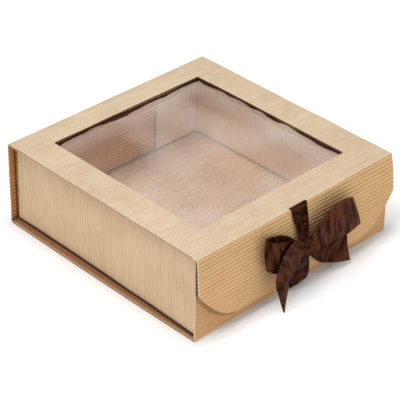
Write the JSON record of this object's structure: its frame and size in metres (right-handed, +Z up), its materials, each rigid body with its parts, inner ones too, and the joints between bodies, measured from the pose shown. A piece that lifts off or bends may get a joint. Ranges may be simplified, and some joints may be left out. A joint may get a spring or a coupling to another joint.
{
  "type": "window-lid gift box",
  "caption": "Square folded-card box for sweets with a hinged window lid, a curved front flap and a tied ribbon bow.",
  "frame": {"origin": "centre of the base's underside, between the front and back folds", "axes": "+X to the right along the front, +Y from the front flap to the spine at the back, +Z up through the lid"},
  "size_m": [0.2016, 0.2181, 0.0706],
  "materials": {
    "ribbed_card": "matt ribbed kraft card",
    "clear_film": "clear glossy film",
    "tape": "thin double-sided paper tape",
    "satin_ribbon": "dark brown satin ribbon"
  },
  "bodies": {
    "tray": {"base_panel": "ribbed_card", "base_liner": "ribbed_card", "spine_panel": "ribbed_card", "front_wall": "ribbed_card", "left_side_wall": "ribbed_card", "right_side_wall": "ribbed_card"},
    "lid": {"lid_panel": "ribbed_card", "window_film": "clear_film", "window_tape_front": "tape", "window_tape_back": "tape", "window_tape_left": "tape", "window_tape_right": "tape", "ribbon_inner_end": "satin_ribbon", "ribbon_inner_patch": "tape"},
    "flap": {"front_flap": "ribbed_card", "ribbon_upper": "satin_ribbon", "ribbon_lower": "satin_ribbon", "ribbon_lower_patch": "tape", "bow_knot": "satin_ribbon", "bow_left_loop": "satin_ribbon", "bow_right_loop": "satin_ribbon", "bow_left_tail": "satin_ribbon", "bow_right_tail": "satin_ribbon"}
  },
  "joints": [
    {"name": "lid_hinge", "type": "hinge", "parent": "tray", "child": "lid", "pos_m": [0, 0.1002, 0.06805], "axis": [-1, 0, 0], "range_deg": [0, 175]},
    {"name": "flap_hinge", "type": "hinge", "parent": "lid", "child": "flap", "pos_m": [0, -0.102, 0.06805], "axis": [-1, 0, 0], "range_deg": [0, 90]}
  ]
}
